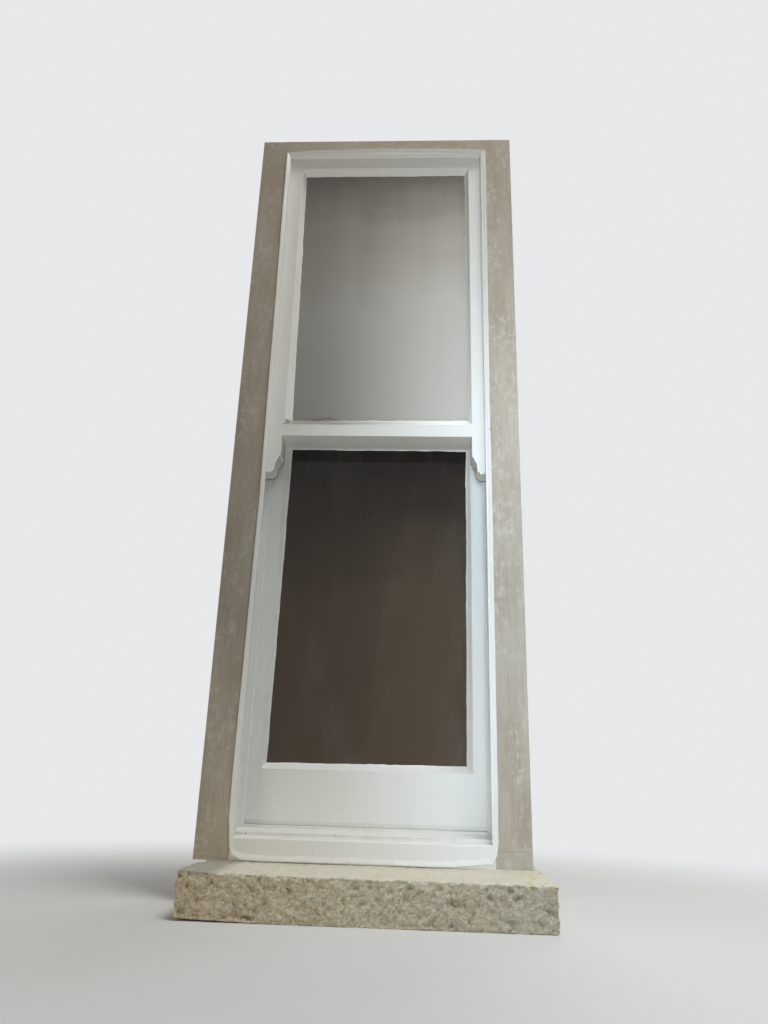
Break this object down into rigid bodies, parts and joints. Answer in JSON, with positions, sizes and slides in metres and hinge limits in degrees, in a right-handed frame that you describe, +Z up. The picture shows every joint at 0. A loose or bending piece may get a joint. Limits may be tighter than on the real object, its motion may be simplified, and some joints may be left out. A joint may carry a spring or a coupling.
{
  "type": "sliding sash window",
  "caption": "Narrow vertically sliding sash window in a weight-box frame with horned upper sash, putty-fronted panes and a stone sub-sill",
  "frame": {"origin": "on the underside of the stone sub-sill, midway between the pulley stiles, under the street face of the outer linings", "axes": "+X to the right as seen from the street, +Y from the street into the room, +Z up"},
  "size_m": [0.623, 0.3255, 1.712],
  "materials": {
    "sill_stone": "rough weathered sandstone",
    "painted_timber": "thick white gloss paint with brush marks",
    "bare_timber": "sawn softwood, dulled with age",
    "painted_putty": "chalk and oil putty under white gloss paint",
    "painted_mastic": "smoothed bead under white paint",
    "pale_glass": "obscured pale drawn glass",
    "dark_glass": "plain glass, dark brown",
    "aged_brass": "aged brass",
    "iron": "rough cast iron",
    "steel": "dull steel",
    "cotton_cord": "braided cotton"
  },
  "bodies": {
    "frame": {"timber_sill": "painted_timber", "outer_lining_left": "painted_timber", "outer_lining_right": "painted_timber", "outer_lining_head": "painted_timber", "pulley_stile_left": "painted_timber", "pulley_stile_right": "painted_timber", "pocket_piece_left": "painted_timber", "pocket_piece_right": "painted_timber", "inner_lining_left": "painted_timber", "inner_lining_right": "painted_timber", "inner_lining_head": "painted_timber", "parting_bead_left": "painted_timber", "parting_bead_right": "painted_timber", "parting_bead_head": "painted_timber", "staff_bead_left": "painted_timber", "staff_bead_right": "painted_timber", "staff_bead_head": "painted_timber", "staff_bead_sill": "painted_timber", "stone_sill": "sill_stone", "head_board": "bare_timber", "back_lining_left": "bare_timber", "back_lining_right": "bare_timber", "mastic_bead": "painted_mastic", "pulley_screws": "aged_brass", "pulley_axles": "steel", "upper_pulley_case_left": "aged_brass", "upper_cord_left": "cotton_cord", "upper_pulley_case_right": "aged_brass", "upper_cord_right": "cotton_cord", "lower_pulley_case_left": "aged_brass", "lower_cord_left": "cotton_cord", "lower_pulley_case_right": "aged_brass", "lower_cord_right": "cotton_cord"},
    "upper_sash": {"upper_stile_left": "painted_timber", "upper_stile_right": "painted_timber", "upper_top_rail": "painted_timber", "upper_meeting_rail": "painted_timber", "upper_putty": "painted_putty", "upper_glass": "pale_glass", "fastener_keep": "aged_brass", "keep_screws": "aged_brass"},
    "lower_sash": {"lower_stile_left": "painted_timber", "lower_stile_right": "painted_timber", "lower_bottom_rail": "painted_timber", "lower_meeting_rail": "painted_timber", "lower_putty": "painted_putty", "lower_glass": "dark_glass", "fastener_base": "aged_brass", "sash_lift_left": "aged_brass", "sash_lift_right": "aged_brass", "lower_sash_screws": "aged_brass"},
    "fastener_lever": {"fastener_lever": "aged_brass"},
    "upper_pulley_wheel_left": {"upper_pulley_wheel_left": "aged_brass"},
    "upper_weight_left": {"upper_weight_left": "iron"},
    "upper_pulley_wheel_right": {"upper_pulley_wheel_right": "aged_brass"},
    "upper_weight_right": {"upper_weight_right": "iron"},
    "lower_pulley_wheel_left": {"lower_pulley_wheel_left": "aged_brass"},
    "lower_weight_left": {"lower_weight_left": "iron"},
    "lower_pulley_wheel_right": {"lower_pulley_wheel_right": "aged_brass"},
    "lower_weight_right": {"lower_weight_right": "iron"}
  },
  "joints": [
    {"name": "lower_sash_slide", "type": "slide", "parent": "frame", "child": "lower_sash", "axis": [0, 0, 1], "range_m": [0, 0.655], "deforming": ["lower_cord_left", "lower_cord_right"]},
    {"name": "upper_sash_slide", "type": "slide", "parent": "frame", "child": "upper_sash", "axis": [0, 0, 1], "range_m": [-0.66, 0], "deforming": ["upper_cord_left", "upper_cord_right"]},
    {"name": "fastener_turn", "type": "hinge", "parent": "lower_sash", "child": "fastener_lever", "pos_m": [0, 0.0935, 0.9655], "axis": [0, 0, -1], "range_deg": [0, 90]},
    {"name": "lower_weight_left_slide", "type": "slide", "parent": "frame", "child": "lower_weight_left", "axis": [0, 0, 1], "range_m": [-0.655, 0]},
    {"name": "lower_pulley_wheel_left_spin", "type": "hinge", "parent": "frame", "child": "lower_pulley_wheel_left", "pos_m": [-0.261, 0.0955, 1.606], "axis": [0, 1, 0], "continuous": true},
    {"name": "lower_weight_right_slide", "type": "slide", "parent": "frame", "child": "lower_weight_right", "axis": [0, 0, 1], "range_m": [-0.655, 0]},
    {"name": "lower_pulley_wheel_right_spin", "type": "hinge", "parent": "frame", "child": "lower_pulley_wheel_right", "pos_m": [0.261, 0.0955, 1.606], "axis": [0, 1, 0], "continuous": true},
    {"name": "upper_weight_left_slide", "type": "slide", "parent": "frame", "child": "upper_weight_left", "axis": [0, 0, 1], "range_m": [0, 0.66]},
    {"name": "upper_pulley_wheel_left_spin", "type": "hinge", "parent": "frame", "child": "upper_pulley_wheel_left", "pos_m": [-0.261, 0.0385, 1.606], "axis": [0, 1, 0], "continuous": true},
    {"name": "upper_weight_right_slide", "type": "slide", "parent": "frame", "child": "upper_weight_right", "axis": [0, 0, 1], "range_m": [0, 0.66]},
    {"name": "upper_pulley_wheel_right_spin", "type": "hinge", "parent": "frame", "child": "upper_pulley_wheel_right", "pos_m": [0.261, 0.0385, 1.606], "axis": [0, 1, 0], "continuous": true}
  ],
  "couplings": [
    {"joint": "lower_weight_left_slide", "follows": "lower_sash_slide", "ratio": -1},
    {"joint": "lower_pulley_wheel_left_spin", "follows": "lower_sash_slide", "rad_per_m": -50},
    {"joint": "lower_weight_right_slide", "follows": "lower_sash_slide", "ratio": -1},
    {"joint": "lower_pulley_wheel_right_spin", "follows": "lower_sash_slide", "rad_per_m": 50},
    {"joint": "upper_weight_left_slide", "follows": "upper_sash_slide", "ratio": -1},
    {"joint": "upper_pulley_wheel_left_spin", "follows": "upper_sash_slide", "rad_per_m": -50},
    {"joint": "upper_weight_right_slide", "follows": "upper_sash_slide", "ratio": -1},
    {"joint": "upper_pulley_wheel_right_spin", "follows": "upper_sash_slide", "rad_per_m": 50}
  ]
}
